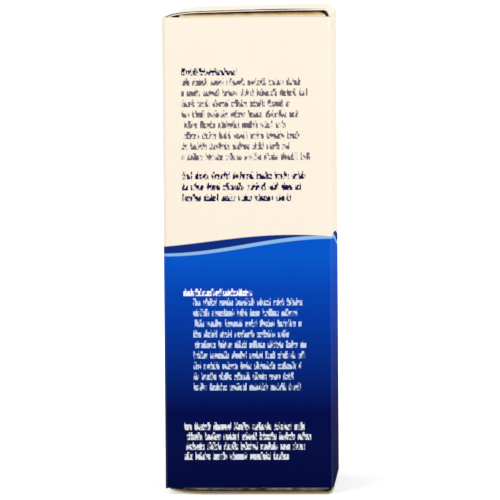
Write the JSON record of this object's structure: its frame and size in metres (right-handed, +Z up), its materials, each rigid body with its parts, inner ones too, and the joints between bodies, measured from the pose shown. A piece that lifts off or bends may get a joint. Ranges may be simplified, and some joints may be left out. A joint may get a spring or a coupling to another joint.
{
  "type": "contact lens drops carton with squeeze bottle",
  "caption": "Tall square paperboard carton with tuck-in ends, holding a round dropper squeeze bottle with a screw cap.",
  "frame": {"origin": "middle of the footprint, on the surface that the carton stands on", "axes": "+Z up along the carton; -Y out of the right side panel, which the reference view faces; -X out of the front panel that the tucks go behind; +X out of the back panel that both closures hinge on"},
  "size_m": [0.0334, 0.0334, 0.0961],
  "materials": {
    "printed_board": "coated board, printed and varnished",
    "bare_board": "coated board",
    "adhesive": "dried glue film",
    "squeeze_plastic": "satin, translucent",
    "cap_plastic": "semi-gloss",
    "label": "gloss film label",
    "liquid": "clear liquid"
  },
  "bodies": {
    "sleeve": {"right_side_panel": "printed_board", "left_side_panel": "printed_board", "front_panel": "printed_board", "back_panel": "printed_board", "glue_flap": "bare_board", "seam_adhesive": "adhesive"},
    "top_closure": {"top_closure_panel": "printed_board"},
    "top_tuck": {"top_tuck_flap": "printed_board"},
    "top_right_dust": {"top_dust_flap_right": "bare_board"},
    "top_left_dust": {"top_dust_flap_left": "bare_board"},
    "bottom_closure": {"bottom_closure_panel": "printed_board"},
    "bottom_tuck": {"bottom_tuck_flap": "printed_board"},
    "bottom_right_dust": {"bottom_dust_flap_right": "bare_board"},
    "bottom_left_dust": {"bottom_dust_flap_left": "bare_board"},
    "bottle": {"bottle_body": "squeeze_plastic", "lens_drops_liquid": "liquid", "bottle_label": "label", "dropper_tip": "squeeze_plastic", "tamper_band": "cap_plastic"},
    "cap_lining": {"cap_seal": "squeeze_plastic"},
    "cap": {"screw_cap": "cap_plastic"}
  },
  "joints": [
    {"name": "top_closure_crease", "type": "hinge", "parent": "sleeve", "child": "top_closure", "pos_m": [0.01665, 0, 0.0943], "axis": [0, 1, 0], "range_deg": [0, 180]},
    {"name": "top_tuck_crease", "type": "hinge", "parent": "top_closure", "child": "top_tuck", "pos_m": [-0.01545, 0, 0.0943], "axis": [0, -1, 0], "range_deg": [0, 18.5]},
    {"name": "top_right_dust_crease", "type": "hinge", "parent": "sleeve", "child": "top_right_dust", "pos_m": [0, -0.01665, 0.0944], "axis": [1, 0, 0], "range_deg": [0, 99.5]},
    {"name": "top_left_dust_crease", "type": "hinge", "parent": "sleeve", "child": "top_left_dust", "pos_m": [0, 0.01665, 0.0944], "axis": [-1, 0, 0], "range_deg": [0, 99.5]},
    {"name": "bottom_closure_crease", "type": "hinge", "parent": "sleeve", "child": "bottom_closure", "pos_m": [0.01665, 0, 0.0014], "axis": [0, -1, 0], "range_deg": [0, 180]},
    {"name": "bottom_tuck_crease", "type": "hinge", "parent": "bottom_closure", "child": "bottom_tuck", "pos_m": [-0.01545, 0, 0.0014], "axis": [0, 1, 0], "range_deg": [0, 18.5]},
    {"name": "bottom_right_dust_crease", "type": "hinge", "parent": "sleeve", "child": "bottom_right_dust", "pos_m": [0, -0.01665, 0.0013], "axis": [-1, 0, 0], "range_deg": [0, 99.5]},
    {"name": "bottom_left_dust_crease", "type": "hinge", "parent": "sleeve", "child": "bottom_left_dust", "pos_m": [0, 0.01665, 0.0013], "axis": [1, 0, 0], "range_deg": [0, 99.5]},
    {"name": "bottle_lift", "type": "slide", "parent": "sleeve", "child": "bottle", "axis": [0, 0, 1], "range_m": [0, 0.0091]},
    {"name": "cap_rise", "type": "slide", "parent": "bottle", "child": "cap_lining", "axis": [0, 0, 1], "range_m": [0, 0.00337]},
    {"name": "cap_turn", "type": "hinge", "parent": "cap_lining", "child": "cap", "pos_m": [0, 0, 0.07], "axis": [0, 0, 1], "range_deg": [0, 450.5]}
  ],
  "couplings": [
    {"joint": "top_tuck_crease", "follows": "top_closure_crease", "ratio": 0.1},
    {"joint": "top_right_dust_crease", "follows": "top_closure_crease", "ratio": 0.55},
    {"joint": "top_left_dust_crease", "follows": "top_closure_crease", "ratio": 0.55},
    {"joint": "bottom_tuck_crease", "follows": "bottom_closure_crease", "ratio": 0.1},
    {"joint": "bottom_right_dust_crease", "follows": "bottom_closure_crease", "ratio": 0.55},
    {"joint": "bottom_left_dust_crease", "follows": "bottom_closure_crease", "ratio": 0.55},
    {"joint": "cap_turn", "follows": "cap_rise", "rad_per_m": 2327.1}
  ]
}
